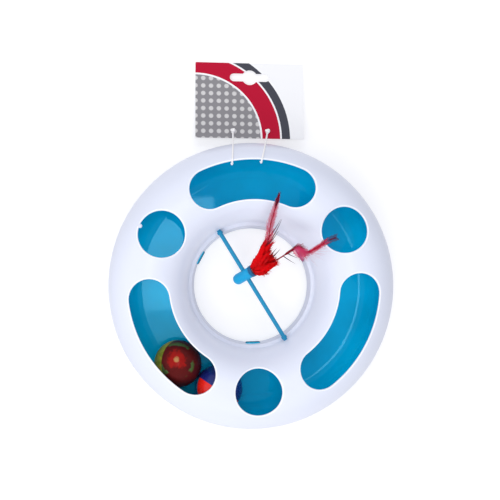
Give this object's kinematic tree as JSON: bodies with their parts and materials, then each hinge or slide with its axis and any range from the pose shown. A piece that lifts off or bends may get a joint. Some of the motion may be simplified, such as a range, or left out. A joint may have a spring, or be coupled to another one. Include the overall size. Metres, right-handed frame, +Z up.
{
  "type": "cat disc toy",
  "caption": "Domed ring toy for cats with balls that roll in a covered track, a feather teaser on a bar across its open centre, and a tied header card.",
  "frame": {"origin": "on the floor under the centre of the ring, level with the undersides of the foot pads", "axes": "+Z up out of the domed cover, +Y from the centre towards the header card, +X to the right seen from above"},
  "size_m": [0.25, 0.3275, 0.0695],
  "materials": {
    "cover_white": "satin moulded",
    "tray_blue": "glossy moulded",
    "hub_blue": "satin moulded",
    "clamp_blue": "matte moulded",
    "plug_ivory": "matte moulded",
    "foot_grey": "soft matte",
    "ball_marbled": "glossy marbled",
    "ball_wedges": "satin with coloured wedges",
    "rattle_steel": "bright",
    "feather_red": "dyed feather",
    "card_print": "printed, coated",
    "cord_white": "round braided cord"
  },
  "bodies": {
    "base": {"top_cover": "cover_white", "track_tray": "tray_blue", "foot_pad_1": "foot_grey", "foot_pad_2": "foot_grey", "foot_pad_3": "foot_grey", "foot_pad_4": "foot_grey", "foot_pad_5": "foot_grey", "foot_pad_6": "foot_grey", "tie_left": "cord_white", "tie_right": "cord_white", "stop_knot_left": "cord_white", "stop_knot_right": "cord_white"},
    "axle": {"axle_bar": "hub_blue"},
    "feather_head": {"swivel_hub": "hub_blue", "clamp_ring": "clamp_blue", "quill_plug": "plug_ivory", "feather_tuft": "feather_red", "feather_left": "feather_red", "feather_right": "feather_red"},
    "ball_a_core": {"ball_a_rattle": "rattle_steel"},
    "ball_a": {"ball_a_shell_left": "ball_marbled", "ball_a_shell_right": "ball_marbled"},
    "ball_b_core": {"ball_b_rattle": "rattle_steel"},
    "ball_b": {"ball_b_shell_left": "ball_wedges", "ball_b_shell_right": "ball_wedges"},
    "card": {"header_card": "card_print", "knot_left": "cord_white", "knot_right": "cord_white"}
  },
  "joints": [
    {"name": "axle_spin", "type": "hinge", "parent": "base", "child": "axle", "pos_m": [0, 0, 0.016], "axis": [0.5, -0.866, 0], "range_deg": [0, 105]},
    {"name": "hub_slide", "type": "slide", "parent": "axle", "child": "feather_head", "axis": [0.5, -0.866, 0], "range_m": [-0.02, 0.055]},
    {"name": "ball_a_travel", "type": "hinge", "parent": "base", "child": "ball_a_core", "pos_m": [0, 0, 0.0247], "axis": [0, 0, 1], "range_deg": [-308, 0]},
    {"name": "ball_a_roll", "type": "hinge", "parent": "ball_a_core", "child": "ball_a", "pos_m": [-0.06716, -0.06577, 0.0247], "axis": [-0.7145, -0.6997, 0], "range_deg": [0, 1413]},
    {"name": "ball_b_travel", "type": "hinge", "parent": "base", "child": "ball_b_core", "pos_m": [0, 0, 0.0247], "axis": [0, 0, 1], "range_deg": [0, 308]},
    {"name": "ball_b_roll", "type": "hinge", "parent": "ball_b_core", "child": "ball_b", "pos_m": [-0.03239, -0.08824, 0.0247], "axis": [-0.3445, -0.9388, 0], "range_deg": [-1413, 0]},
    {"name": "card_flap", "type": "hinge", "parent": "base", "child": "card", "pos_m": [0.003, 0.1378, 0.01], "axis": [0.9995, -0.0314, 0], "range_deg": [0, 90]}
  ],
  "couplings": [
    {"joint": "ball_a_roll", "follows": "ball_a_travel", "ratio": -4.5854},
    {"joint": "ball_b_roll", "follows": "ball_b_travel", "ratio": -4.5854}
  ]
}
